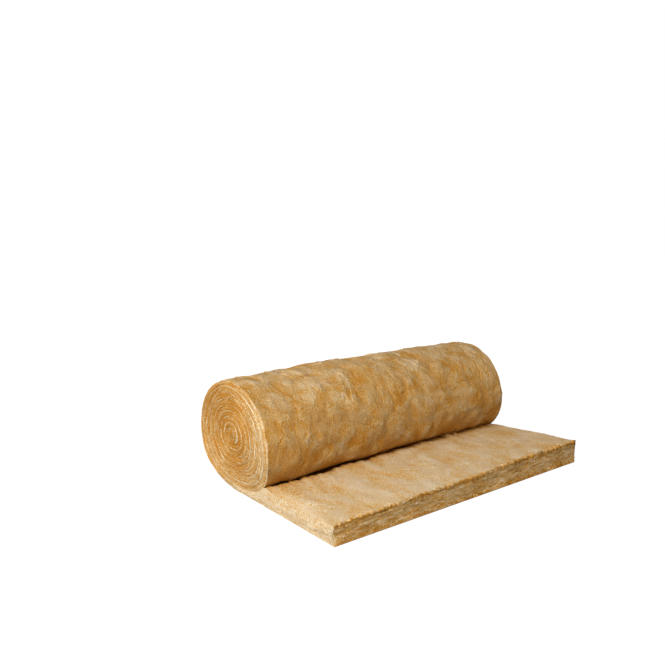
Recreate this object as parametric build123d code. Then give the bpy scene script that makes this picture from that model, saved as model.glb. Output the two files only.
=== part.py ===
"""Glass-wool insulation roll, part unrolled on the floor.

One continuous blanket. Its free end lies flat as a tail, runs in under the roll and is wound up from
there in a spiral of squashed turns. The wool is thin inside the roll and swells back to its full
thickness towards the tail's cut end.

Millimetres. +Z is up, X runs along the roll's axis, the cut end of the tail faces -Y, and the origin
is on the floor at the middle of the part's footprint. Turns are counted inwards from the outside.
"""

import os

from build123d import *

# The blanket
BLANKET_WIDTH = 1200.0
BLANKET_THICKNESS = 80.0
TAIL_LENGTH = 585.0

# The wound roll. A turn is thinner above and below the core than in front of it and behind it.
TURN_COUNT = 9
TURN_THICKNESS = 22.0
SIDE_TURN_THICKNESS = 26.0
CORE_RADIUS = 10.0

# How the roll settles under its own weight. The widest height of the outer turn drops by SAG, its
# front slumps over the tail by SLUMP, and it lies flat on the tail for FOOT_RUN in front of the axis.
# Below the front it is fuller than an ellipse: the share of the way to the corner that each end of
# this quarter sets off for.
SAG = 28.0
SLUMP = 5.0
FOOT_RUN = 45.0
FULLNESS_SHARE = 0.66

# The seam between one turn and the next, open on both ends of the roll
SEAM_WIDTH = 5.0
SEAM_DEPTH = 14.0

# The crease where the tail comes out from under the roll: its place along the outer turn's last
# quarter, and how far the tail's top follows the roll, and then the floor, on its way to the cut end
CREASE_SHARE = 0.55
CREASE_RUN = 30.0
SWELL_RUN = 300.0


# Worked out from the sizes above
CORE_HEIGHT = CORE_RADIUS + TURN_COUNT * TURN_THICKNESS
BACK_TURN_SHARE = 1 / 4
TOP_TURN_SHARE = 2 / 4
FRONT_TURN_SHARE = 3 / 4
ELLIPSE_SHARE = 0.5523
BACK_REACH = CORE_RADIUS + (TURN_COUNT - BACK_TURN_SHARE) * SIDE_TURN_THICKNESS
AXIS_Y = (TAIL_LENGTH - BACK_REACH) / 2
CUT_END_Y = AXIS_Y - TAIL_LENGTH


def turns_left(turn):
    """Share of the winding that is still to come inside this turn: 1 outside, 0 at the core."""
    return 1 - turn / TURN_COUNT


def waist_height(turn):
    """Height at which a turn is widest."""
    return CORE_HEIGHT - SAG * turns_left(turn)


# The lowest, rearmost, highest and foremost points of a turn's outer face in the (Y, Z) section,
# each moved outwards by a distance where the far side of the seam is wanted.


def bottom(turn, outward=0):
    return (AXIS_Y, turn * TURN_THICKNESS - outward)


def foot(turn, outward=0):
    return (AXIS_Y - FOOT_RUN * turns_left(turn), turn * TURN_THICKNESS - outward)


def back(turn, outward=0):
    reach = CORE_RADIUS + (TURN_COUNT - turn - BACK_TURN_SHARE) * SIDE_TURN_THICKNESS
    return (AXIS_Y + reach + outward, waist_height(turn))


def top(turn, outward=0):
    rise = CORE_RADIUS + (TURN_COUNT - turn - TOP_TURN_SHARE) * TURN_THICKNESS
    return (AXIS_Y, CORE_HEIGHT + rise + outward)


def front(turn, outward=0):
    reach = CORE_RADIUS + (TURN_COUNT - turn - FRONT_TURN_SHARE) * SIDE_TURN_THICKNESS
    return (AXIS_Y - reach - SLUMP * turns_left(turn) - outward, waist_height(turn))


def quarter_ellipse(start, end, start_angle):
    """Anticlockwise quarter of an ellipse, level at a turn's bottom or top and upright at its sides."""
    starts_level = start_angle % 180 == 90
    centre = (start[0], end[1]) if starts_level else (end[0], start[1])
    y_radius = abs(end[0] - start[0])
    z_radius = abs(end[1] - start[1])
    return EllipticalCenterArc(centre, y_radius, z_radius, start_angle, arc_size=90)


def rising_back(turn, outward=0):
    return quarter_ellipse(bottom(turn, outward), back(turn, outward), -90)


def shoulder(turn, outward=0):
    return quarter_ellipse(back(turn, outward), top(turn, outward), 0)


def brow(turn, outward=0):
    return quarter_ellipse(top(turn, outward), front(turn, outward), 90)


def falling_front(turn, outward=0):
    """From a turn's front down to the next turn's foot, fullest outside and an ellipse at the core."""
    start, end = front(turn, outward), foot(turn + 1, outward)
    share = ELLIPSE_SHARE + (FULLNESS_SHARE - ELLIPSE_SHARE) * turns_left(turn)
    below_start = (start[0], start[1] + share * (end[1] - start[1]))
    before_end = (end[0] + share * (start[0] - end[0]), end[1])
    return Bezier(start, below_start, before_end, end)


def seam_side(outward):
    """One side of the spiral seam, from the crease under the roll in to the core."""
    edges = [falling_front(0, outward).trim(CREASE_SHARE, 1)]
    for turn in range(1, TURN_COUNT):
        edges.append(Line(foot(turn, outward), bottom(turn, outward)))
        edges.append(rising_back(turn, outward))
        edges.append(shoulder(turn, outward))
        edges.append(brow(turn, outward))
        edges.append(falling_front(turn, outward))
    return edges


def seam_face():
    """The seam as a narrow spiral face in the (Y, Z) section."""
    inner, outer = seam_side(0), seam_side(SEAM_WIDTH)
    mouth = Line(inner[0] @ 0, outer[0] @ 0)
    core_end = Line(inner[-1] @ 1, outer[-1] @ 1)
    return make_face([*inner, core_end, *outer, mouth])


def blanket_face():
    """Outline of the roll and its tail in the (Y, Z) section, anticlockwise from the cut end."""
    floor_corner = (CUT_END_Y, 0)
    upper_corner = (CUT_END_Y, BLANKET_THICKNESS)
    roll_lip = falling_front(0).trim(0, CREASE_SHARE)
    seam_lip = falling_front(0, SEAM_WIDTH)
    crease = seam_lip @ CREASE_SHARE
    tail_top = Bezier(
        crease,
        crease - CREASE_RUN * (seam_lip % CREASE_SHARE),
        (CUT_END_Y + SWELL_RUN, BLANKET_THICKNESS),
        upper_corner,
    )
    return make_face(
        [
            Line(floor_corner, bottom(0)),
            rising_back(0),
            shoulder(0),
            brow(0),
            roll_lip,
            Line(roll_lip @ 1, crease),
            tail_top,
            Line(upper_corner, floor_corner),
        ]
    )


def glass_wool_blanket():
    """The section carried across the blanket's width, with the seam sunk into both ends of the roll."""
    half_width = BLANKET_WIDTH / 2
    blanket = extrude(Plane.YZ * blanket_face(), half_width, both=True)
    seam = seam_face()
    for end, inward in ((half_width, -SEAM_DEPTH), (-half_width, SEAM_DEPTH)):
        blanket -= extrude(Plane.YZ.offset(end) * seam, inward)
    return blanket


os.makedirs("parts", exist_ok=True)
export_step(glass_wool_blanket(), "parts/glass_wool_blanket.step")
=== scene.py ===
"""Looks of a glass-wool insulation roll, part unrolled on the floor, with its light and camera.

Metres. X runs along the roll's axis, the cut end of the tail faces -Y, and the floor is at z = 0.
"""

import math

import bpy
import numpy as np
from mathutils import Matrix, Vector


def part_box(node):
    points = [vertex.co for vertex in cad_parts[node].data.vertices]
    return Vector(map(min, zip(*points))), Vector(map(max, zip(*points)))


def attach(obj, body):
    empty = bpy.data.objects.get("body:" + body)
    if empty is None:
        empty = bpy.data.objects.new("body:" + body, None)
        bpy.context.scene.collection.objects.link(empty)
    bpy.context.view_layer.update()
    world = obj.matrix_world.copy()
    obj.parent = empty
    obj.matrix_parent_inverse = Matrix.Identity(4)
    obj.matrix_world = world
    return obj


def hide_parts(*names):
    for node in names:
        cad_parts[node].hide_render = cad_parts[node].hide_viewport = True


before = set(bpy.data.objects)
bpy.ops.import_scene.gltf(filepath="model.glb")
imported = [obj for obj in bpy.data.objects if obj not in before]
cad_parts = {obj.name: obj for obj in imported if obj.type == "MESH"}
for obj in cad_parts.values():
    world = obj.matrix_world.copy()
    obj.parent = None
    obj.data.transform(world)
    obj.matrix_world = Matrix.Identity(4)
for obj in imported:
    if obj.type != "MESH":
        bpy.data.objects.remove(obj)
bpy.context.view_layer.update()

# The winding: one length of glass wool whose free end lies in front of the roll as a tail. The rest is
# wound up behind it in turns that sag under their own weight. Its section is followed here from the cut
# end to the core, along its outer face, which is under the tail and outside the roll.
turn_count = 9
core_radius = 0.010
tail_length = 0.585
tail_thickness = 0.080
sag = 0.028
foot_run = 0.045
crease_share = 0.94
crease_run = 0.016
crease_taper = 0.6
swell_run = 0.260

# Where a turn is rearmost, highest and foremost, as shares of it, and the reach that makes an ellipse
back_turn_share = 1 / 4
top_turn_share = 2 / 4
front_turn_share = 3 / 4
ellipse_share = 0.5523

box_low, box_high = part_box("glass_wool_blanket")
half_width = box_high[0]
cut_end_y = box_low[1]
axis_y = cut_end_y + tail_length
turn_thickness = (box_high[2] - 2 * core_radius) / (2 * turn_count - top_turn_share)
side_turn_thickness = (box_high[1] - axis_y - core_radius) / (turn_count - back_turn_share)
core_height = core_radius + turn_count * turn_thickness

# Steps along the section, and the steps at which the roll starts, the crease is shut, the tail's top
# meets the cut end and the winding ends
tail_steps = 75
foot_steps = 5
quarter_steps = 52
curve_points = 200
turn_steps = foot_steps + 4 * quarter_steps
contact_steps = round((1 - crease_share) * quarter_steps)
wound_steps = tail_steps + contact_steps
crease_step = tail_steps + turn_steps
corner_step = crease_step + tail_steps
core_step = wound_steps + turn_count * turn_steps


def bezier(start, start_handle, end_handle, end, shares):
    """Points at these shares of a curve that sets off for one handle and arrives from the other."""
    share = shares[:, None]
    handles = 3 * (1 - share) ** 2 * share * start_handle + 3 * (1 - share) * share**2 * end_handle
    return (1 - share) ** 3 * start + handles + share**3 * end


def quarter_ellipse(start, end, start_angle):
    """Quarter of an ellipse in the (y, z) section, level at a turn's top and bottom, upright at its sides."""
    starts_level = start_angle % 180 == 90
    centre = (start[0], end[1]) if starts_level else (end[0], start[1])
    angle = np.radians(start_angle + 90 * np.arange(quarter_steps) / quarter_steps)
    return centre + np.abs(np.subtract(end, start)) * np.column_stack([np.cos(angle), np.sin(angle)])


def falling_front(start, end, reach_share):
    """From a turn's front down to the next turn's foot, an ellipse or fuller than one."""
    below_start = (start[0], start[1] + reach_share * (end[1] - start[1]))
    before_end = (end[0] + reach_share * (start[0] - end[0]), end[1])
    return bezier(start, below_start, before_end, end, np.arange(quarter_steps) / quarter_steps)


def turn_outline(turn, slump, fullness_share):
    """Outer face of a turn, counted from the outside: along its foot, then round its back, top and front."""
    left = turn_count - turn
    waist = core_height - sag * left / turn_count
    foot = (axis_y - foot_run * left / turn_count, turn * turn_thickness)
    bottom = (axis_y, turn * turn_thickness)
    back = (axis_y + core_radius + (left - back_turn_share) * side_turn_thickness, waist)
    top = (axis_y, core_height + core_radius + (left - top_turn_share) * turn_thickness)
    front_reach = core_radius + (left - front_turn_share) * side_turn_thickness + slump * left / turn_count
    front = (axis_y - front_reach, waist)
    reach_share = ellipse_share + (fullness_share - ellipse_share) * left / turn_count
    next_foot = (axis_y - foot_run * (left - 1) / turn_count, (turn + 1) * turn_thickness)
    return np.vstack(
        [
            np.linspace(foot, bottom, foot_steps, endpoint=False),
            quarter_ellipse(bottom, back, -90),
            quarter_ellipse(back, top, 0),
            quarter_ellipse(top, front, 90),
            falling_front(np.array(front), np.array(next_foot), reach_share),
        ]
    )


def run_along(points):
    """Length from the first point to each of the others."""
    return np.append(0, np.cumsum(np.linalg.norm(np.diff(points, axis=0), axis=1)))


def evenly(points, count):
    """Points the same distance apart along a line, without its far end."""
    run = run_along(points)
    at = np.linspace(0, run[-1], count, endpoint=False)
    return np.column_stack([np.interp(at, run, points[:, axis]) for axis in (0, 1)])


core = np.array([[axis_y, turn_count * turn_thickness]])
floor_corner = np.array([cut_end_y, 0])
upper_corner = np.array([cut_end_y, tail_thickness])


def section(slump, fullness_share, mouth_shares, mouth_gap, swell_drop):
    """Section of the blanket near one end of the roll.

    It gives the outer face from the cut end to the core, the tail's top from the cut end into the crease,
    once with the crease shut and once open, and how many steps of the roll and the tail the crease takes.
    """
    turns = np.vstack([turn_outline(turn, slump, fullness_share) for turn in range(turn_count)])
    under_crease = np.array([turns[turn_steps - contact_steps, 0], 0])
    outer_face = np.vstack(
        [
            np.linspace(floor_corner, under_crease, tail_steps, endpoint=False),
            np.linspace(under_crease, turns[0], contact_steps, endpoint=False),
            turns,
            core,
        ]
    )
    swell = upper_corner + (swell_run, -swell_drop)
    tail_tops = []
    for gap, mouth_share in zip((0, mouth_gap), mouth_shares):
        mouth_steps = round((1 - mouth_share) * quarter_steps)
        lip = turns[turn_steps - mouth_steps : turn_steps - contact_steps + 1]
        lip_run = (lip[1] - lip[0]) / np.linalg.norm(lip[1] - lip[0])
        lip_gaps = gap * np.linspace(1, 0, len(lip))[:, None] ** crease_taper
        under_lip = lip + lip_gaps * (lip_run[1], -lip_run[0])
        before_lip = under_lip[0] - crease_run * lip_run
        tail_curve = bezier(upper_corner, swell, before_lip, under_lip[0], np.linspace(0, 1, curve_points))
        tail_tops.append(evenly(np.vstack([tail_curve, under_lip[1:]]), tail_steps))
    lip_length = run_along(lip)[-1]
    tail_lip_share = lip_length / (lip_length + run_along(tail_curve)[-1])
    return outer_face, tail_tops, (len(lip) - 1, tail_lip_share * tail_steps)


left_face, left_tops, left_lips = section(
    slump=0.010, fullness_share=0.76, mouth_shares=(0.40, 0.44), mouth_gap=0.004, swell_drop=0.002
)
right_face, right_tops, right_lips = section(
    slump=0.0, fullness_share=ellipse_share, mouth_shares=(0.56, 0.56), mouth_gap=0.0, swell_drop=0.014
)

# The blanket's mesh: a grid round the section and across the width, closed at both ends by layers that
# follow the winding from the cut end to the core. The ends of the turns stand proud of the seam between
# them, and the rims are rounded as soft wool is.
column_pitch = 0.0065
layer_shares = np.array([0, 0.06, 0.22, 0.42, 0.62, 0.80, 0.94, 1])
seam_rise = 0.001
end_swell = 0.002
rim_radius = 0.005
rim_steps = 4
tail_rim_share = 0.7
cut_rim_share = 0.35
edge_cut_share = 0.5

# The tail's tilt, as it is thinner on the left, its worn left shoulder, and the droop of the roll's left end
tail_tilt_share = 0.145
shoulder_drop = 0.016
shoulder_width = 0.060
shoulder_lean = 0.8
droop_share = 0.038
droop_width = 0.42

# The crease: how far its mouth bows up and is shut at the ends, the dent in the roll above it, and the
# ragged edge of the tail in it. The relief fades out over some steps towards it.
closed_width = 0.070
crease_bow = 0.008
mouth_reach_steps = 6
fade_steps = 14
dent_depth = 0.001
left_dent_depth = 0.011
dent_place_steps = 16
dent_width_steps = 9
rag_pitch = 0.010
rag_swing = 0.0050
rag_width_share = 0.05
random_seed = 11

rim_angle = np.linspace(0, math.pi / 2, rim_steps)
rim_x = rim_radius * (1 - np.cos(rim_angle))
rim_inset = rim_radius * (1 - np.sin(rim_angle))
middle_count = round(2 * (half_width - rim_radius) / column_pitch)
middle_x = np.linspace(rim_radius - half_width, half_width - rim_radius, middle_count + 1)[1:-1]
column_x = np.concatenate([rim_x - half_width, middle_x, half_width - rim_x[::-1]])
column_inset = np.concatenate([rim_inset, 0 * middle_x, rim_inset[::-1]])
column_cut = column_inset / rim_radius
column_count = len(column_x)

# Round the section: along the floor and over the roll to the crease, along the tail's top, down the cut end
layer_count = len(layer_shares) - 1
cut_shares = layer_shares[1:-1][::-1]
cut_face = upper_corner + (floor_corner - upper_corner) * (1 - cut_shares)[:, None]
right_share = ((column_x + half_width) / (2 * half_width))[:, None, None]
open_share = np.clip((half_width - np.abs(column_x)) / closed_width, 0, 1)[:, None, None]
outline = 0
for face, (closed_top, open_top), end_share in (
    (left_face, left_tops, 1 - right_share),
    (right_face, right_tops, right_share),
):
    for tail_top, share in ((closed_top, 1 - open_share), (open_top, open_share)):
        around = np.vstack([face[: crease_step + 1], tail_top[::-1], cut_face])
        outline = outline + end_share * share * around
outline_count = outline.shape[1]
on_tail_top = slice(crease_step + 1, corner_step + 1)
on_cut_end = slice(corner_step + 1, outline_count)

towards = np.roll(outline, -1, axis=1) - np.roll(outline, 1, axis=1)
outward = np.stack([towards[..., 1], -towards[..., 0]], axis=-1)
outward /= np.linalg.norm(towards, axis=-1, keepdims=True)
on_floor = np.arange(outline_count) <= wound_steps + foot_steps
outward[:, on_floor] = (0, 0)
outward[:, crease_step + 1 : corner_step] *= tail_rim_share
outward[:, corner_step:] *= cut_rim_share
from_crease = np.arange(outline_count) - crease_step
lips = (1 - right_share[..., 0]) * left_lips + right_share[..., 0] * right_lips
from_mouth = np.where(from_crease > 0, from_crease - lips[:, 1:], -from_crease - lips[:, :1])
near_mouth = np.exp(-((np.maximum(from_mouth, 0) / mouth_reach_steps) ** 2))
dent = np.exp(-(((from_crease + dent_place_steps) / dent_width_steps) ** 2)) * (from_crease <= 0)
column_dent = (dent_depth + left_dent_depth * (1 - right_share) ** 2) * open_share
outline -= outward * column_dent * dent[:, None]
outline[..., 1] += crease_bow * np.sin(math.pi * right_share[..., 0]) * near_mouth
outward *= np.clip(from_mouth / fade_steps, 0, 1)[..., None]

outline_run = run_along(left_face)
outline_along = np.concatenate(
    [outline_run[: crease_step + 1], outline_run[:tail_steps][::-1], np.zeros(layer_count - 1)]
)
outline_depth = np.concatenate([np.zeros(crease_step + 1), np.ones(tail_steps), cut_shares])
outline_cut = np.concatenate([np.zeros(corner_step + 1), np.ones(layer_count - 1)])
outline_cut[[0, corner_step]] = edge_cut_share
outline_tilt = np.concatenate(
    [np.zeros(crease_step + 1), 1 - np.arange(tail_steps)[::-1] / tail_steps, np.ones(layer_count - 1)]
)
steps_from_floor = np.clip(np.arange(outline_count) - wound_steps - foot_steps, 0, None)
outline_swell = np.clip(np.minimum(np.abs(from_crease), steps_from_floor) / fade_steps, 0, 1)
outline_swell[on_cut_end] = 1

skin_xyz = np.empty((column_count, outline_count, 3))
skin_xyz[:, :, 0] = column_x[:, None]
skin_xyz[:, :, 1:] = outline - outward * column_inset[:, None, None]
skin_xyz[:, :, 2] *= 1 + tail_tilt_share * outline_tilt * column_x[:, None] / half_width
shoulder = np.clip((half_width + column_x) / shoulder_width, 0, 1)[:, None]
left_mouth_tilt = left_lips[1] / tail_steps
shoulder_place = np.clip((outline_tilt - left_mouth_tilt) / (1 - left_mouth_tilt), 0, 1)
shoulder_shape = outline_depth * np.sin(math.pi * shoulder_place**shoulder_lean)
skin_xyz[:, :, 2] -= shoulder_drop * (1 - shoulder) ** 2 * np.clip(shoulder_shape, 0, 1)
random = np.random.default_rng(random_seed)
rag_count = round(2 * half_width / rag_pitch)
rag_x = np.linspace(-half_width, half_width, rag_count)
rag = np.interp(column_x, rag_x, random.normal(0, rag_swing, rag_count))[:, None] * open_share[..., 0]
from_rag = outline_tilt - lips[:, 1:] / tail_steps
skin_xyz[:, :, 2] += rag * outline_depth * np.exp(-((from_rag / rag_width_share) ** 2))

# Kept at each vertex: the lay of the wool along, across and down into the blanket, how far it is cut
# across, how far its relief may rise, its distance from a seam or edge, and how near it lies to the
# crease's mouth, which sets the painted shade on the tail there
skin_lay = np.empty((column_count, outline_count, 3))
skin_lay[:, :, 0] = outline_along
skin_lay[:, :, 1] = column_x[:, None]
skin_lay[:, :, 2] = outline_depth * skin_xyz[:, :, 2]
in_lips = np.clip(-from_mouth / lips.mean(), 0, 1)
skin_swell = outline_swell * (1 - in_lips * (1 - open_share[..., 0]))
skin_seam = np.zeros((column_count, outline_count))
skin_seam[:, on_cut_end] = np.minimum(cut_face[:, 1], tail_thickness - cut_face[:, 1])
vertices = [skin_xyz.reshape(-1, 3)]
fields = {
    "lay": [skin_lay.reshape(-1, 3)],
    "cut": [np.maximum(outline_cut, column_cut[:, None]).ravel()],
    "swell": [skin_swell.ravel()],
    "seam": [skin_seam.ravel()],
    "crease_shade": [near_mouth.ravel()],
}
skin_index = np.arange(column_count * outline_count).reshape(column_count, outline_count)
next_index = np.roll(skin_index, -1, axis=1)
skin_corners = [skin_index[:-1], next_index[:-1], next_index[1:], skin_index[1:]]
quads = [np.stack(skin_corners, axis=-1).reshape(-1, 4)]

# The two ends of the roll, each a strip of layers from the cut end to the core that shares the skin's
# rim outside and is shut along the seam between one turn and the next
end_rows = []
first_free = skin_index.size
step = np.arange(core_step + 1)
inner_step = np.minimum(step + turn_steps, core_step)
on_skin = step <= crease_step
seam_count = core_step - crease_step
inside = (slice(1, core_step), slice(1, layer_count))
inside_shape = (core_step - 1, layer_count - 1)
inside_count = (core_step - 1) * (layer_count - 1)
end_count = seam_count + inside_count
proud = end_swell * (1 - (2 * layer_shares - 1) ** 2)
for column, side, face in ((0, -1, left_face), (column_count - 1, 1, right_face)):
    rows = np.empty((core_step + 1, layer_count + 1), int)
    rows[on_skin, 0] = skin_index[column, : crease_step + 1]
    rows[~on_skin, 0] = first_free + np.arange(seam_count)
    rows[:, layer_count] = rows[inner_step, 0]
    rows[:tail_steps, layer_count] = skin_index[column, on_tail_top][::-1]
    rows[0, 1:layer_count] = skin_index[column, on_cut_end][::-1]
    rows[inside] = (first_free + seam_count + np.arange(inside_count)).reshape(inside_shape)
    rows[core_step, :] = rows[core_step, 0]
    end_rows.append(rows)

    place = np.empty((core_step + 1, layer_count + 1, 3))
    place[on_skin, 0] = skin_xyz[column, : crease_step + 1]
    place[~on_skin, 0, 0] = side * (half_width + seam_rise)
    place[~on_skin, 0, 1:] = face[crease_step + 1 :]
    place[:, layer_count] = place[inner_step, 0]
    place[:tail_steps, layer_count] = skin_xyz[column, on_tail_top][::-1]
    across = layer_shares[None, :, None]
    place[:, 1:layer_count] = ((1 - across) * place[:, :1] + across * place[:, -1:])[:, 1:layer_count]
    place[:, 1:layer_count, 0] = side * (half_width + proud[1:layer_count])
    thickness = np.linalg.norm(place[:, -1, 1:] - place[:, 0, 1:], axis=1)[:, None]

    lay = np.empty((core_step + 1, layer_count + 1, 3))
    lay[:, :, 0] = outline_run[:, None]
    lay[:, :, 1] = side * half_width
    lay[:, :, 2] = layer_shares * thickness
    seam = np.minimum(layer_shares, 1 - layer_shares) * thickness
    seam[: crease_step + 1] = (1 - layer_shares) * thickness[: crease_step + 1]
    seam[:wound_steps] = tail_thickness
    vertices += [place[~on_skin, 0], place[inside].reshape(-1, 3)]
    fields["lay"] += [lay[~on_skin, 0], lay[inside].reshape(-1, 3)]
    fields["cut"].append(np.ones(end_count))
    fields["swell"].append(np.ones(end_count))
    fields["seam"] += [seam[~on_skin, 0], seam[inside].ravel()]
    fields["crease_shade"].append(np.zeros(end_count))
    corners = [rows[:-1, :-1], rows[1:, :-1], rows[1:, 1:], rows[:-1, 1:]]
    quads.append(np.stack(corners[::side], axis=-1).reshape(-1, 4))
    first_free += end_count

vertices = np.vstack(vertices)
droop = np.clip((droop_width - half_width - vertices[:, 0]) / droop_width, 0, 1)
vertices[:, 2] *= 1 - droop_share * droop**2 * (3 - 2 * droop)
fields = {name: np.concatenate(values) for name, values in fields.items()}


def wool_mesh(name, vertices, quads, fields):
    """A smooth mesh with values kept at its vertices. Corners that fall together are left out of a face."""
    faces = [tuple(dict.fromkeys(quad)) for quad in quads.tolist()]
    mesh = bpy.data.meshes.new(name)
    mesh.from_pydata(vertices.tolist(), [], [face for face in faces if len(face) > 2])
    for field, values in fields.items():
        kind, slot = ("FLOAT_VECTOR", "vector") if values.ndim == 2 else ("FLOAT", "value")
        mesh.attributes.new(field, kind, "POINT").data.foreach_set(slot, values.ravel())
    mesh.shade_smooth()
    return mesh


def put_in_scene(name, data):
    piece = bpy.data.objects.new(name, data)
    bpy.context.scene.collection.objects.link(piece)
    return piece


blanket = put_in_scene("blanket", wool_mesh("glass_wool", vertices, np.vstack(quads), fields))

# The wool: fibres laid flat in layers, which swirl and bunch into tufts on the two skins and show as thin
# strands on the cut faces. What stands up is fluffy and pale, and what is pressed in is amber. A lump has
# three sizes: along the blanket, across it and down into it.
drift_lump = (0.20, 0.20, 0.20)
drift_swing = (0.10, 0.10, 0.0)
curl_lump = (0.040, 0.040, 0.040)
curl_swing = (0.034, 0.034, 0.0)
tuft_lump = (0.090, 0.060, 0.100)
tail_top_depth = (0.005, 0.020)

# On the cut faces: the wave of the layers, the strands in them, and the ridges that the knife left
cut_end_run = (0.0005, 0.003)
wave_lump = (0.070, 0.070, 0.070)
wave_swing = 0.016
cut_end_wave_swing = 0.024
strand_lump = (0.090, 0.090, 0.008)
ridge_pitch = 0.021
ridge_drift_lump = (0.100, 0.060, 0.200)
ridge_drift = 0.060
ridge_run = (0.0, 0.014)
ridge_heights = (0.025, 0.070)


class Value:
    """A socket of a node tree. Sums, products and the like of values add the Math nodes for them."""

    def __init__(self, socket):
        self.socket = socket
        self.is_vector = socket.type != "VALUE"

    def node(self, kind, settings, sockets, output=0):
        """Adds a node to the same tree, with its settings and then its sockets' values or links."""
        tree = self.socket.id_data
        node = tree.nodes.new(kind)
        for name, setting in settings.items():
            setattr(node, name, setting)
        for key, value in sockets.items():
            if isinstance(value, Value):
                tree.links.new(value.socket, node.inputs[key])
            else:
                node.inputs[key].default_value = value
        return Value(node.outputs[output])

    def output(self, name):
        """Another output of the node that this value comes from."""
        return Value(self.socket.node.outputs[name])

    def maths(self, operation, *terms):
        """Adds a Math node, or a Vector Math node if any of the terms is a vector or a colour."""
        if not any(isinstance(term, tuple) or getattr(term, "is_vector", False) for term in terms):
            return self.node("ShaderNodeMath", {"operation": operation}, dict(enumerate(terms)))
        spread = [(term,) * 3 if isinstance(term, (int, float)) else term for term in terms]
        return self.node("ShaderNodeVectorMath", {"operation": operation}, dict(enumerate(spread)))

    def __add__(self, other):
        return self.maths("ADD", self, other)

    def __radd__(self, other):
        return self.maths("ADD", other, self)

    def __sub__(self, other):
        return self.maths("SUBTRACT", self, other)

    def __rsub__(self, other):
        return self.maths("SUBTRACT", other, self)

    def __mul__(self, other):
        return self.maths("MULTIPLY", self, other)

    def __rmul__(self, other):
        return self.maths("MULTIPLY", other, self)


def part(vector, axis):
    """One of a vector's three parts."""
    return vector.node("ShaderNodeSeparateXYZ", {}, {0: vector}, axis)


def length(vector):
    return vector.maths("LENGTH", vector).output("Value")


def spun(vector, angle):
    """A vector turned in the plane of the blanket."""
    sockets = {"Vector": vector, "Angle": angle}
    return vector.node("ShaderNodeVectorRotate", {"rotation_type": "Z_AXIS"}, sockets)


def rising(value, low, high):
    """0 below low, 1 above high, and smooth between."""
    settings = {"interpolation_type": "SMOOTHSTEP"}
    return value.node("ShaderNodeMapRange", settings, {"Value": value, "From Min": low, "From Max": high})


def between(share, first, second):
    """The first value where the share is 0, and the second where it is 1."""
    return first + (second - first) * share


def weighed(shares):
    """The sum of some values, each times its share."""
    terms = [value * share for value, share in shares.items()]
    total = terms[0]
    for term in terms[1:]:
        total = total + term
    return total


def noise(at, sizes, detail=2.0, roughness=0.5):
    """Noise from about 0.2 to 0.8 in lumps of these sizes along, across and down into the blanket."""
    scaled = at * tuple(1 / size for size in sizes)
    sockets = {"Vector": scaled, "Scale": 1.0, "Detail": detail, "Roughness": roughness}
    return at.node("ShaderNodeTexNoise", {"noise_dimensions": "3D"}, sockets)


def cells(at, feature="F1", **sockets):
    """Cells about as wide as 1, seen on the face of the blanket."""
    settings = {"voronoi_dimensions": "2D", "feature": feature}
    return at.node("ShaderNodeTexVoronoi", settings, {"Vector": at, "Scale": 1.0} | sockets)


def drifted(lay):
    """The lay of the wool, drawn about in wide swirls as the fibres fell."""
    wide = noise(lay, drift_lump, detail=1.0).output("Color")
    return lay + (wide - 0.5) * drift_swing


def swirled(lay):
    """The same with closer curls in it."""
    drawn = drifted(lay)
    close = noise(drawn, curl_lump, detail=3.0, roughness=0.6).output("Color")
    return drawn + (close - 0.5) * curl_swing


def puffs(drawn, size, mean=0.3):
    """Soft pillows of wool with creases between them, from about -0.4 in a crease to 0.3 on a pillow."""
    return mean - cells(drawn * (1 / size, 1 / size, 0.0), "SMOOTH_F1", Smoothness=0.3)


def on_tail(lay):
    """1 on the tail's top and 0 on the roll."""
    return rising(part(lay, 2), *tail_top_depth)


def on_front(lay):
    """1 on the cut end and 0 elsewhere."""
    return 1 - rising(part(lay, 0), *cut_end_run)


def skin_height(lay):
    """How far the skin stands out at a place, about 0 in the hollows to 1 on the tufts."""
    return noise(swirled(lay), tuft_lump, detail=3.0, roughness=0.55)


def layered(lay):
    """The lay of the wool on a cut face, where the layers rise and fall, most of all on the cut end."""
    wave = (noise(lay, wave_lump) - 0.5) * (wave_swing + on_front(lay) * cut_end_wave_swing)
    return lay + lay.node("ShaderNodeCombineXYZ", {}, {2: wave})


def strand_height(lay):
    """How far the strands of a cut face stand out, from 0 to 1."""
    return noise(layered(lay), strand_lump, detail=3.0)


def knife_ridges(lay):
    """Ridges that the knife drew down from the cut end's upper edge: from -1 to 1, and 0 elsewhere."""
    across = part(lay, 1) + (noise(lay, ridge_drift_lump, detail=1.0) - 0.5) * ridge_drift
    wave = across.maths("SINE", across * (2 * math.pi / ridge_pitch))
    near_cut_end = 1 - rising(part(lay, 0), *ridge_run)
    return wave * near_cut_end * rising(part(lay, 2), *ridge_heights)


# The relief of the mesh: lumps, pillows, strands and ridges, the slow warp of the whole blanket above the
# floor, and the wobble of the turns on the ends of the roll. It is applied, and nothing sinks into the floor.
skin_swing = 0.010
strand_swing = 0.006
edge_swing = 0.0028
puff_size = 0.080
puff_swing = 0.008
warp_lump = (0.20, 0.20, 0.20)
warp_swing = 0.012
warp_height = 0.06
wobble_lump = (0.20, 0.075, 0.075)
wobble_swing = (0.0, 0.012, 0.012)
wobble_run = (1.8, 3.2)

relief_tree = bpy.data.node_groups.new("wool_relief", "GeometryNodeTree")
for in_out in ("INPUT", "OUTPUT"):
    relief_tree.interface.new_socket("Geometry", in_out=in_out, socket_type="NodeSocketGeometry")
loose = Value(relief_tree.nodes.new("NodeGroupInput").outputs[0])


def kept(name, kind):
    """Values kept at the vertices, in the relief's tree."""
    return loose.node("GeometryNodeInputNamedAttribute", {"data_type": kind}, {"Name": name})


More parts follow.
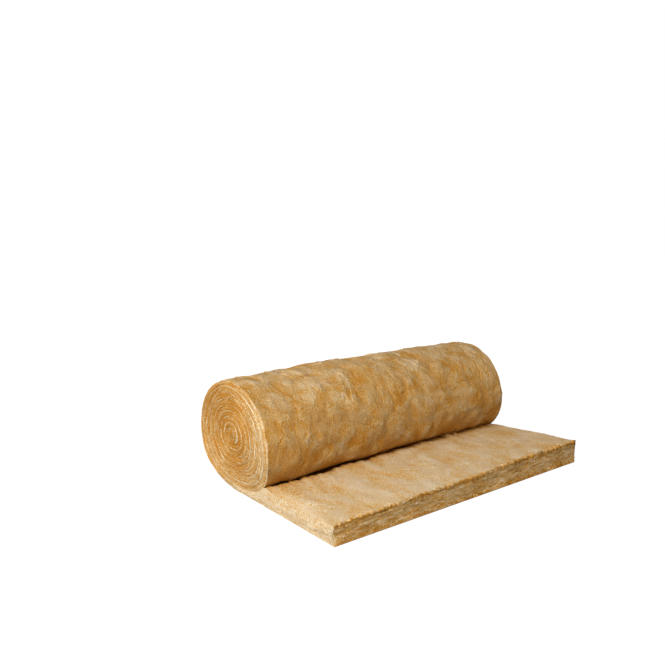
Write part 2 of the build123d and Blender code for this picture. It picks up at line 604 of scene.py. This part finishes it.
lay = kept("lay", "FLOAT_VECTOR")
cut = kept("cut", "FLOAT")
swell = kept("swell", "FLOAT")
normal = loose.node("GeometryNodeInputNormal", {}, {})
position = loose.node("GeometryNodeInputPosition", {}, {})
lift = (skin_height(lay) - 0.5) * (1 - cut) * skin_swing + (strand_height(lay) - 0.5) * cut * strand_swing
lift = lift + knife_ridges(lay) * edge_swing
lift = lift + puffs(swirled(lay), puff_size) * ((1 - on_tail(lay)) * (1 - cut)) * puff_swing
warp = (noise(position, warp_lump, detail=1.0).output("Color") - 0.5) * warp_swing
wobble = (noise(position, wobble_lump, detail=1.0).output("Color") - 0.5) * wobble_swing
above_floor = rising(part(position, 2), 0.0, warp_height)
on_turns = rising(part(lay, 0), *wobble_run) * cut
offset = normal * (lift * swell) + warp * (above_floor * swell) + wobble * on_turns
moved = loose.node("GeometryNodeSetPosition", {}, {"Geometry": loose, "Offset": offset})
relief_tree.links.new(moved.socket, relief_tree.nodes.new("NodeGroupOutput").inputs[0])
relief = blanket.modifiers.new("relief", "NODES")
relief.node_group = relief_tree
shaped = blanket.evaluated_get(bpy.context.evaluated_depsgraph_get())
blanket_mesh = bpy.data.meshes.new_from_object(shaped)
blanket.modifiers.remove(relief)
blanket.data = blanket_mesh
points = np.empty(3 * len(blanket_mesh.vertices))
blanket_mesh.vertices.foreach_get("co", points)
points = points.reshape(-1, 3)
points[:, 2] = np.maximum(points[:, 2], 0)
blanket_mesh.vertices.foreach_set("co", points.ravel())

# The colours of the wool, from pressed and resinous to loose and fluffy, and of the dust on its skins
umber = (0.51, 0.198, 0.017, 1)
amber = (0.595, 0.270, 0.036, 1)
tan = (0.62, 0.365, 0.120, 1)
pale = (0.675, 0.450, 0.205, 1)
fleece = (0.70, 0.56, 0.37, 1)
cream = (0.84, 0.74, 0.57, 1)
rose = (0.63, 0.46, 0.28, 1)
dusk = (0.50, 0.29, 0.105, 1)
clear_white = (1, 1, 1, 1)
wound_end_cast = (1.02, 1.02, 0.94, 1)
dust_share = 0.65
wool_roughness = 0.9
wool_specular = 0.05

# How pale the wool is before all that follows, and how much calmer the low front and the tail are
skin_base_tone = 0.65
front_base_tone = 0.53
side_base_tone = 0.87
end_base_tone = 0.05
calm_front_share = 0.45
calm_tail_share = 0.80
calm_tail_grain_share = 0.35

# What shows on the skins: felt and its grain, a haze and patches, and flakes and scales of wool
felt_lump = (0.055, 0.045, 0.050)
grain_lump = (0.006, 0.005, 0.006)
fine_lump = (0.0036, 0.0036, 0.0036)
haze_lump = (0.110, 0.060, 0.100)
patch_lump = (0.150, 0.110, 0.100)
crumple_lump = (0.170, 0.170, 0.170)
crumple_range = (0.40, 0.60)
dust_lump = (0.120, 0.045, 0.100)
dust_range = (0.44, 0.66)
broad_flake = {"size": 0.075, "fibre": (0.060, 0.008, 0.060)}
small_flake = {"size": 0.038, "fibre": (0.035, 0.005, 0.035)}
flake_edge = (0.20, 0.70)
large_scale_size = 0.090
small_scale_size = 0.042
scale_edge = (0.0, 0.12)

# What shows on the cut faces: hairs and fine lines along the layers, the torn crust of the cut end's
# edges, and the pale lip of the seam between the turns with a painted shadow line beside it
hair_lump = (0.035, 0.035, 0.0024)
line_lump = (0.090, 0.090, 0.0030)
line_range = (0.54, 0.64)
tooth_lump = (0.100, 0.012, 0.200)
tooth_depth = 0.012
crust_depth = 0.014
ridge_x = (-0.30, 0.30)
left_ridge_share = 0.4
lip_lump = (0.15, 0.15, 0.15)
lip_range = (0.26, 0.58)
lip_depth = (0.0008, 0.0028)
seam_shadow_start = (0.0022, 0.0036)
seam_shadow_end = (0.0048, 0.0080)
core_shade_radii = (0.06, 0.20)
tail_side_run = (0.50, 0.66)

wool = bpy.data.materials.new("glass_wool")
wool.use_nodes = True
shader = wool.node_tree.nodes["Principled BSDF"]
start = Value(shader.outputs[0])


def read(name, output):
    """Values kept at the vertices, in the material."""
    return start.node("ShaderNodeAttribute", {"attribute_name": name}, {}, output)


def blend(share, first, second):
    """The first colour where the share is 0, and the second where it is 1."""
    return share.node("ShaderNodeMix", {"data_type": "RGBA"}, {0: share, 6: first, 7: second}, 2)


def shade(tone):
    """Colour of wool from 0, dense and resinous, to 1, loose and fluffy."""
    colour = blend(rising(tone, 0.00, 0.25), umber, amber)
    colour = blend(rising(tone, 0.25, 0.50), colour, tan)
    colour = blend(rising(tone, 0.50, 0.75), colour, pale)
    colour = blend(rising(tone, 0.75, 1.00), colour, fleece)
    return blend(rising(tone, 1.10, 1.50), colour, cream)


def flakes(drawn, size, fibre, swing=2.6, lean=0.3):
    """Flakes of wool, each combed its own way: how far its fibres stand out, from about -0.3 to 0.3."""
    at = drawn * (1 / size, 1 / size, 0.0)
    cell = cells(at)
    hue = cell.output("Color")
    local = (at - cell.output("Position")) * size + hue
    combed_way = spun(local, (part(hue, 0) - 0.5) * swing - lean)
    fibres = noise(combed_way, fibre, detail=3.0, roughness=0.6) - 0.5
    return weighed({fibres: 1.2, part(hue, 1) - 0.5: 0.35}) * (1 - rising(cell, *flake_edge))


def scales(drawn, size):
    """Scales of felt, each tilted its own way so that one edge stands out: from about -0.6 to 0.6."""
    at = drawn * (1 / size, 1 / size, 0.0)
    cell = cells(at)
    hue = cell.output("Color")
    tilted = spun(at - cell.output("Position"), part(hue, 0) * (2 * math.pi))
    from_edge = cells(at, "DISTANCE_TO_EDGE")
    return weighed({part(tilted, 0): 1.0, part(hue, 1) - 0.5: 0.4}) * rising(from_edge, *scale_edge)


lay = read("lay", "Vector")
cut = read("cut", "Fac")
seam = read("seam", "Fac")
tint = read("tint", "Fac")
crease_shade = read("crease_shade", "Fac")
along = part(lay, 0)
drift = drifted(lay)
drawn = swirled(lay)
grain = noise(drawn, grain_lump, detail=3.0, roughness=0.75) - 0.5
fine = noise(lay, fine_lump, detail=2.0, roughness=0.8) - 0.5
patch = noise(drawn, patch_lump, detail=2.0, roughness=0.6) - 0.5

# The skins. The roll is paler on its back and top and painted darker as it turns down to the crease, as
# painted shade, and the tail is painted darker beside the crease's mouth, as painted shade too. A number
# added to the lay moves one pattern away from another.
tail = on_tail(lay) * (1 - cut)
felt = noise(drawn, felt_lump, detail=7.0, roughness=0.64) - 0.5
haze = noise(drift, haze_lump, detail=4.0, roughness=0.6) - 0.5
brushed = weighed({flakes(drift, **broad_flake): 1.0, flakes(drawn + 0.5, **small_flake): 0.7})
puff = puffs(drawn, puff_size) * (1 - tail)
crumpled = rising(noise(drift + 0.8, crumple_lump, detail=2.0), *crumple_range)
scale = weighed({scales(drawn, large_scale_size) * crumpled: 1.0, scales(drawn + 0.7, small_scale_size): 0.6})
scale = scale * (1 - tail)
dust = rising(noise(drift + 0.3, dust_lump, detail=4.0, roughness=0.6), *dust_range)
top_run = outline_run[wound_steps + foot_steps + 2 * quarter_steps]
waist_run = outline_run[wound_steps + foot_steps + 3 * quarter_steps]
brow = rising(along, top_run, waist_run)
low = rising(along, waist_run, outline_run[crease_step]) * (1 - tail)
# Painted shade: the roll darker from its top down to the crease, and the tail darker beside the crease's
# mouth
painted_downward_shade = weighed({brow: 0.21, low: 0.60, crease_shade * tail: 0.42})
roll_mottle = weighed({felt: 0.95, patch: 0.70, brushed: 0.70, puff: 0.30, scale: 0.36})
tail_mottle = weighed({felt: 0.35, brushed: 0.38, haze: 1.7})
skin_tone = skin_base_tone + tint - painted_downward_shade
skin_tone = skin_tone + between(tail, roll_mottle * (1 - low * calm_front_share), tail_mottle)
skin_tone = skin_tone + weighed({tail: 0.07, grain: 2.0, fine: 2.6})

# The cut faces: the cut end in front, the tail's two sides beside it, and the wound ends of the roll
strands = strand_height(lay) - 0.5
hairs = noise(layered(lay), hair_lump, detail=3.0, roughness=0.7) - 0.5
speckle = weighed({grain: 1.0, fine: 1.4})
front = on_front(lay)
crust = 1 - rising(seam - noise(lay, tooth_lump, detail=1.0) * tooth_depth, 0.0, crust_depth)
to_right = rising(part(lay, 1), *ridge_x)
ridges = knife_ridges(lay) * front * (to_right * (1 - left_ridge_share) + left_ridge_share)
front_tone = front_base_tone + tint
# The knife ridges' share here is painted light and shade: lighter on their crests, darker between
front_tone = front_tone + weighed({crust: -0.24, ridges: 0.12, patch: 0.5})
front_tone = front_tone + weighed({strands: 0.8, hairs: 1.5, speckle: 1.7})
side_tone = side_base_tone + tint + weighed({strands: 0.15, hairs: 1.8, speckle: 1.7})
lines = rising(noise(lay, line_lump, detail=1.0), *line_range)
lip = (1 - rising(seam, *lip_depth)) * rising(noise(lay, lip_lump), *lip_range)
# Painted shadow: a dark line beside each seam's pale lip
seam_shadow_line = rising(seam, *seam_shadow_start) * (1 - rising(seam, *seam_shadow_end))
from_core = start.node("ShaderNodeTexCoord", {}, {}, "Object") - (0.0, axis_y, core_height)
outwards = rising(length(from_core * (0.0, 1.0, 1.0)), *core_shade_radii)
end_tone = end_base_tone + tint
# Painted shade: the wound ends are darker towards their top and back
end_tone = end_tone + weighed({outwards: 0.32, part(from_core, 1): -0.5, part(from_core, 2): -0.4})
end_tone = end_tone + weighed({lip: 0.47, seam_shadow_line: -0.14, lines: 0.34})
end_tone = end_tone + weighed({strands: 0.8, hairs: 1.8, speckle: 2.6})
beside = 1 - rising(along, *tail_side_run)
cut_tone = between(front, between(beside, end_tone, side_tone), front_tone)

colour = shade(between(cut, skin_tone, cut_tone))
colour = colour * blend(cut * (1 - front) * (1 - beside), clear_white, wound_end_cast)
# Painted light and shade: the cut end lighter on the crests of its strands, hairs and knife ridges
combed_light = weighed({strands: 1.1, hairs: 0.7, ridges: 0.09}) * front * cut
colour = colour * (combed_light + 1)
dusty = dust * (1 - cut) * (1 - low) * (1 - crease_shade) * dust_share
colour = blend(dusty, colour, blend(tail, dusk, rose))

# How far all this stands out, in metres for each value's full swing
skin_bump = weighed({felt: 0.013, brushed: 0.0060, scale: 0.0070}) * (1 - tail * calm_tail_share)
skin_bump = skin_bump + weighed({grain: 0.0060, fine: 0.0038}) * (1 - tail * calm_tail_grain_share)
cut_bump = weighed({strands: 0.005, hairs: 0.005, ridges: 0.0011, grain: 0.0055, fine: 0.0040})
cut_bump = cut_bump + weighed({strands: 0.007, hairs: 0.003}) * front
bump_height = between(cut, skin_bump, cut_bump)
bump = bump_height.node("ShaderNodeBump", {}, {"Height": bump_height, "Strength": 1.0, "Distance": 1.0})
wool.node_tree.links.new(colour.socket, shader.inputs["Base Color"])
wool.node_tree.links.new(bump.socket, shader.inputs["Normal"])
shader.inputs["Roughness"].default_value = wool_roughness
shader.inputs["Specular IOR Level"].default_value = wool_specular
blanket_mesh.materials.append(wool)

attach(blanket, "root")
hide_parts("glass_wool_blanket")

# The wisps: tufts of fibre that lie on the skins and along the layers of the cut faces, and the row of
# torn teeth that the knife left along the upper edge of the cut end. Each lies along a row of places on
# the blanket's own grid, with its edges sunk into the wool.
ring_corners = 4
tuft_taper = 0.7
tint_taper = 0.5
sharp_angle = 70
grid_margin = 0.001
least_length = 1e-9

# Strokes of tufts on the skins lie in groups that are combed the same way
stroke_points = 9
strokes_per_group = 6
stroke_turn_spread = 0.14
stroke_bend_spread = 0.12
stroke_scatter_steps = 4.5
stroke_overrun_steps = 6
stroke_tint_spread = 0.05


def on_grid(grid, row, column):
    """Values of a grid at rows and columns between its own."""
    row = np.clip(row, 0, grid.shape[0] - 1 - grid_margin)
    column = np.clip(column, 0, grid.shape[1] - 1 - grid_margin)
    low_row, low_column = row.astype(int), column.astype(int)
    down, right = (row - low_row)[..., None], (column - low_column)[..., None]
    upper = grid[low_row, low_column] * (1 - right) + grid[low_row, low_column + 1] * right
    lower = grid[low_row + 1, low_column] * (1 - right) + grid[low_row + 1, low_column + 1] * right
    return upper * (1 - down) + lower * down


def unit(vectors):
    return vectors / np.maximum(np.linalg.norm(vectors, axis=-1, keepdims=True), least_length)


def to_corners(values):
    """Values of a tuft's places, given to its two tips and to the ring of corners at each place between."""
    rings = np.repeat(values[:, 1:-1], ring_corners, axis=1)
    return np.concatenate([values[:, :1], rings, values[:, -1:]], axis=1)


def tufts(index, row, column, half_width, height, sink, tint, edge_tint_share=0.0, group_size=1):
    """Tapered tufts along rows of places on a grid of the blanket's vertices.

    Half widths and heights are drawn between two sizes, and tints about a mean with a spread, for each
    tuft or group of tufts. It gives vertices, faces and the values kept at the vertices. A ring of corners
    is an edge, the ridge, the other edge and the root.
    """
    count, place_count = row.shape
    half_widths = random.uniform(*half_width, count)
    heights = random.uniform(*height, count)
    tints = random.normal(*tint, count // group_size).repeat(group_size)
    if group_size > 1:
        tints = tints + random.normal(0, stroke_tint_spread, count)
    grid = points[index]
    centre = on_grid(grid, row, column)
    across = on_grid(grid, row + 0.5, column) - on_grid(grid, row - 0.5, column)
    along = on_grid(grid, row, column + 0.5) - on_grid(grid, row, column - 0.5)
    normal = unit(np.cross(along, across))
    side = unit(np.cross(normal, unit(np.gradient(centre, axis=1))))
    taper = np.sin(math.pi * np.linspace(0, 1, place_count)) ** tuft_taper
    taper[[0, -1]] = 0
    out = (half_widths[:, None] * taper)[..., None] * side
    up = (heights[:, None] * taper)[..., None] * normal
    sunk = centre - sink * normal
    rings = np.stack([sunk - out, centre + up, sunk + out, sunk - up], axis=2)
    rings = rings[:, 1:-1].reshape(count, -1, 3)
    vertices = np.concatenate([sunk[:, :1], rings, sunk[:, -1:]], axis=1)
    vertices[..., 2] = np.maximum(vertices[..., 2], 0)

    vertex_count = vertices.shape[1]
    corner = np.arange(ring_corners)
    following = np.roll(corner, -1)
    first_tip, first_ring = 0 * corner, 1 + corner
    last_tip, last_ring = first_tip + vertex_count - 1, vertex_count - 1 - ring_corners
    quads = [
        np.stack([first_tip, 1 + following, first_ring, first_ring], axis=1),
        np.stack([last_tip, last_ring + corner, last_ring + following, last_ring + following], axis=1),
    ]
    for ring in range(1, last_ring, ring_corners):
        above = ring + ring_corners
        quads.append(np.stack([ring + corner, ring + following, above + following, above + corner], axis=1))
    quads = np.vstack(quads) + (vertex_count * np.arange(count))[:, None, None]

    carried = {}
    for name in ("lay", "cut", "seam"):
        values = fields[name][index].reshape(*index.shape, -1)
        carried[name] = to_corners(on_grid(values, row, column)).reshape(count * vertex_count, -1).squeeze()
    ridge = np.outer(taper[1:-1] ** tint_taper, [edge_tint_share, 1, edge_tint_share, 0])
    ridge = np.concatenate([[0], ridge.ravel(), [0]])
    carried["tint"] = (tints[:, None] * ridge).ravel()
    return vertices.reshape(-1, 3), quads.reshape(-1, 4), carried


def join(name, groups):
    """Makes one piece of some groups of tufts."""
    vertices, quads, carried = zip(*groups)
    first = np.cumsum([0] + [len(group) for group in vertices[:-1]])
    quads = np.vstack([group + start for group, start in zip(quads, first)])
    values = {field: np.concatenate([group[field] for group in carried]) for field in carried[0]}
    mesh = wool_mesh(name, np.vstack(vertices), quads, values)
    mesh.set_sharp_from_angle(angle=math.radians(sharp_angle))
    mesh.materials.append(wool)
    piece = put_in_scene(name, mesh)
    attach(piece, "root")


def combed(group_count, rows, length, heading, spread, bend):
    """Columns and rows of curved strokes that lie on the skin in combed groups, between two of its rows."""
    count = group_count * strokes_per_group
    group = np.repeat(np.arange(group_count), strokes_per_group)
    angle = np.radians(random.normal(heading, spread, group_count))[group]
    angle = angle + random.normal(0, stroke_turn_spread, count)
    curve = random.normal(0, bend, group_count)[group] + random.normal(0, stroke_bend_spread, count)
    angle = angle[:, None] + curve[:, None] * np.linspace(-1, 1, stroke_points)
    step = random.uniform(*length, count)[:, None] / (stroke_points - 1) / column_pitch
    shift = random.normal(0, stroke_scatter_steps, (2, count))
    row = random.uniform(*rows, group_count)[group] + shift[0]
    row = row[:, None] + np.cumsum(step * np.cos(angle), axis=1)
    column = random.uniform(0, column_count, group_count)[group] + shift[1]
    column = column[:, None] + np.cumsum(step * np.sin(angle), axis=1)
    row = np.clip(row, rows[0] - stroke_overrun_steps, rows[1] + stroke_overrun_steps)
    return np.clip(column, rim_steps - 1, column_count - rim_steps), row


# Tufts on the roll, which keep off the floor and the roll's front above the crease, where painted shade
# darkens it
floor_margin_steps = 12
crease_margin_steps = 70
roll_rows = (wound_steps + foot_steps + floor_margin_steps, crease_step - crease_margin_steps)
roll_combing = {"group_count": 60, "length": (0.025, 0.060), "heading": 22, "spread": 50, "bend": 0.40}
column, row = combed(rows=roll_rows, **roll_combing)
roll_sizes = {"half_width": (0.003, 0.007), "height": (0.0010, 0.0030), "sink": 0.0005}
roll_tufts = tufts(skin_index, column, row, **roll_sizes, tint=(0.12, 0.13), group_size=strokes_per_group)

# Long, flat tufts on the tail
mouth_margin_steps = 34
edge_margin_steps = 8
tail_rows = (crease_step + mouth_margin_steps, corner_step - edge_margin_steps)
tail_combing = {"group_count": 16, "length": (0.060, 0.150), "heading": 48, "spread": 18, "bend": 0.20}
column, row = combed(rows=tail_rows, **tail_combing)
tail_sizes = {"half_width": (0.004, 0.009), "height": (0.0002, 0.0007), "sink": 0.0004}
tail_tufts = tufts(skin_index, column, row, **tail_sizes, tint=(0.10, 0.16))

# Torn teeth along the upper edge of the cut end, placed in steps of the grid
tooth_pitch = 0.016
tooth_points = 7
tooth_line = np.linspace(-1, 1, tooth_points)
tooth_scatter = 0.9
tooth_lean = 0.4
tooth_drop = 0.2
tooth_reach = (0.7, 2.0)
count = round(2 * half_width / tooth_pitch)
column = np.linspace(rim_steps, column_count - 1 - rim_steps, count) + random.normal(0, tooth_scatter, count)
column = column[:, None] + random.normal(0, tooth_lean, (count, 1)) * tooth_line
row = corner_step + tooth_drop + random.uniform(*tooth_reach, count)[:, None] * tooth_line
tooth_sizes = {"half_width": (0.005, 0.010), "height": (0.003, 0.0065), "sink": 0.0005}
teeth = tufts(skin_index, column, row, **tooth_sizes, tint=(-0.15, 0.12), edge_tint_share=0.9)
join("skin_wisps", [roll_tufts, tail_tufts, teeth])

# Strands on both ends of the roll: pale ones along the seam, and others in the layers. More of them lie on
# the outer turns than near the core. Depths and the tilt are shares of the blanket's thickness.
strand_points = 6
strand_line = np.linspace(-1, 1, strand_points)
strand_first_step = wound_steps + 20
strand_last_step = core_step - 2
strand_crowding = 1.3
strand_tilt_share = 0.05
seam_strands = {"count": 800, "depth_shares": (-0.05, 0.05), "length": (0.050, 0.220)}
layer_strands = {"count": 900, "depth_shares": (0.15, 0.85), "length": (0.020, 0.110)}
seam_strands["sizes"] = {"half_width": (0.0005, 0.0012), "height": (0.0005, 0.0012), "sink": 0.0003}
layer_strands["sizes"] = {"half_width": (0.0005, 0.0013), "height": (0.0005, 0.0012), "sink": 0.0003}
seam_strands["tint"] = (0.34, 0.16)
layer_strands["tint"] = (0.06, 0.30)

# The palest strands, along the seam inside the outer turn, are pale fibre with a painted highlight on its
# top and front; then the strands on the tail's sides. The scatter of the first, and the places of the
# others, are in steps and layers of the grid.
first_seam_count = 60
first_seam_runs = (waist_run - 0.45, waist_run + 0.10)
first_seam_reach = (0.025, 0.070)
first_seam_scatter = 0.08
first_seam_sizes = {"half_width": (0.0010, 0.0020), "height": (0.0008, 0.0016), "sink": 0.0003}
side_strand_count = 260
side_strand_reach = (3, 9)
side_layer_margin = 0.3
side_strand_tilt = 0.15
side_strand_sizes = {"half_width": (0.002, 0.004), "height": (0.0002, 0.0008), "sink": 0.0004}

groups = []
all_steps = np.arange(core_step + 1)
first_run = outline_run[strand_first_step]
wound_run = outline_run[-1] - first_run
for index, side in zip(end_rows, (-1, 1)):
    index = index[:, ::side]
    for kind in (seam_strands, layer_strands):
        count = kind["count"]
        begin = first_run + random.uniform(0, 1, count) ** strand_crowding * wound_run
        run = begin[:, None] + random.uniform(*kind["length"], count)[:, None] / 2 * strand_line
        row = np.clip(np.interp(run, outline_run, all_steps), strand_first_step, strand_last_step)
        share = random.uniform(*kind["depth_shares"], count)[:, None]
        share = np.clip(share + random.normal(0, strand_tilt_share, (count, 1)) * strand_line, 0, 1)
        layer = np.interp(share, layer_shares, np.arange(layer_count + 1))
        layer = layer if side > 0 else layer_count - layer
        groups.append(tufts(index, row, layer, **kind["sizes"], tint=kind["tint"], edge_tint_share=1.0))
    count = first_seam_count
    run = random.uniform(*first_seam_runs, count)[:, None]
    run = run + random.uniform(*first_seam_reach, count)[:, None] * strand_line
    row = np.interp(run, outline_run, all_steps)
    layer = np.full(row.shape, layer_count if side > 0 else 0)
    layer = np.clip(layer + random.normal(0, first_seam_scatter, (count, 1)), 0, layer_count)
    # Painted highlight: these seam strands are tinted palest, up to cream
    groups.append(tufts(index, row, layer, **first_seam_sizes, tint=(0.80, 0.12), edge_tint_share=1.0))
    count = side_strand_count
    row = random.uniform(0, wound_steps, count)[:, None]
    row = np.clip(row + random.uniform(*side_strand_reach, count)[:, None] * strand_line, 0, None)
    layer = random.uniform(side_layer_margin, layer_count - side_layer_margin, count)[:, None]
    layer = layer + random.normal(0, side_strand_tilt, (count, 1)) * strand_line
    groups.append(tufts(index, row, layer, **side_strand_sizes, tint=(0.0, 0.14), edge_tint_share=0.6))

# Strands across the cut end
front_strand_count = 520
front_layer_margin = 0.6
front_strand_tilt = 0.25
front_columns = (4, column_count - 5)
front_strand_reach = (3, 10)
front_last_row = outline_count - 1.01
front_strand_sizes = {"half_width": (0.0015, 0.004), "height": (0.0004, 0.0014), "sink": 0.0004}
count = front_strand_count
row = corner_step + random.uniform(front_layer_margin, layer_count - front_layer_margin, count)[:, None]
row = np.minimum(row + random.normal(0, front_strand_tilt, (count, 1)) * strand_line, front_last_row)
column = random.uniform(*front_columns, count)[:, None]
column = column + random.uniform(*front_strand_reach, count)[:, None] * strand_line
groups.append(tufts(skin_index, column, row, **front_strand_sizes, tint=(-0.03, 0.17), edge_tint_share=0.6))
join("cut_strands", groups)

# The floor: a plain white studio floor that runs out of sight and keeps the roll's soft shadow. For the
# camera it mostly glows, and wholly so away from the roll, where it goes over into the white surround.
floor_reach = 20.0
floor_white = (0.65, 0.65, 0.65, 1)
glow_strength = 1.10
glow_share = 0.88
glow_radii = (0.7, 2.4)
floor_mesh = bpy.data.meshes.new("floor")
floor_corners = [(x * floor_reach, y * floor_reach, 0) for x, y in ((-1, -1), (1, -1), (1, 1), (-1, 1))]
floor_mesh.from_pydata(floor_corners, [], [(0, 1, 2, 3)])
floor = put_in_scene("floor", floor_mesh)
white = bpy.data.materials.new("studio_white")
white.use_nodes = True
white_shader = white.node_tree.nodes["Principled BSDF"]
white_shader.inputs["Base Color"].default_value = floor_white
white_shader.inputs["Roughness"].default_value = 1.0
white_shader.inputs["Specular IOR Level"].default_value = 0.0
surface = Value(white_shader.outputs[0])


def seen_directly(start):
    """1 for the camera's own rays and those that a gloss or glass sends on, and 0 for rays of light."""
    camera_ray = start.node("ShaderNodeLightPath", {}, {}, "Is Camera Ray")
    glossy_ray = camera_ray.output("Is Glossy Ray")
    glass_ray = camera_ray.output("Is Transmission Ray")
    return start.maths("MAXIMUM", camera_ray, start.maths("MAXIMUM", glossy_ray, glass_ray))


glow = surface.node("ShaderNodeEmission", {}, {"Color": clear_white, "Strength": glow_strength})
away = rising(length(surface.node("ShaderNodeNewGeometry", {}, {}, "Position")), *glow_radii)
glowing = seen_directly(surface) * (away * (1 - glow_share) + glow_share)
shown = surface.node("ShaderNodeMixShader", {}, {0: glowing, 1: surface, 2: glow})
white.node_tree.links.new(shown.socket, white.node_tree.nodes["Material Output"].inputs["Surface"])
floor_mesh.materials.append(white)

# The light: a large soft box to the left and above, a weak one in front, and an even white surround.
ambient_strength = 0.43
key_light = {"place": (-3.3, -0.95, 2.9), "aim": (0, 0, 0.15), "size": 2.0, "power": 175}
fill_light = {"place": (-2.4, -3.6, 0.6), "aim": (0, 0, 0.10), "size": 1.2, "power": 22}
scene = bpy.context.scene
scene.view_settings.view_transform = "Standard"
world = bpy.data.worlds.new("studio")
scene.world = world
world.use_nodes = True
surround = world.node_tree.nodes["Background"]
surround.inputs["Color"].default_value = clear_white
strength = seen_directly(Value(surround.outputs[0])) * (1 - ambient_strength) + ambient_strength
world.node_tree.links.new(strength.socket, surround.inputs["Strength"])


def soft_box(name, place, aim, size, power):
    """A round soft box that is turned to what it lights."""
    light = bpy.data.lights.new(name, "AREA")
    light.shape = "DISK"
    light.size = size
    light.energy = power
    lamp = put_in_scene(name, light)
    lamp.location = place
    x, y, z = np.subtract(place, aim)
    lamp.rotation_euler = (math.atan2(math.hypot(x, y), z), 0, math.atan2(x, -y))


soft_box("key", **key_light)
soft_box("fill", **fill_light)

# The camera: low and to the left of the tail's cut end, at the height of someone who kneels by it.
photo_pixels = 665
focal_pixels = 697.5
sensor_width = 36.0
camera_place = (-1.7745, -1.9088, 0.9199)
camera_turn = 37.91
camera_dip = 8.68
lens = bpy.data.cameras.new("camera")
lens.sensor_width = sensor_width
lens.lens = sensor_width * focal_pixels / photo_pixels
camera = put_in_scene("camera", lens)
camera.location = camera_place
camera.rotation_euler = (math.radians(90 - camera_dip), 0, math.radians(-camera_turn))
scene.camera = camera
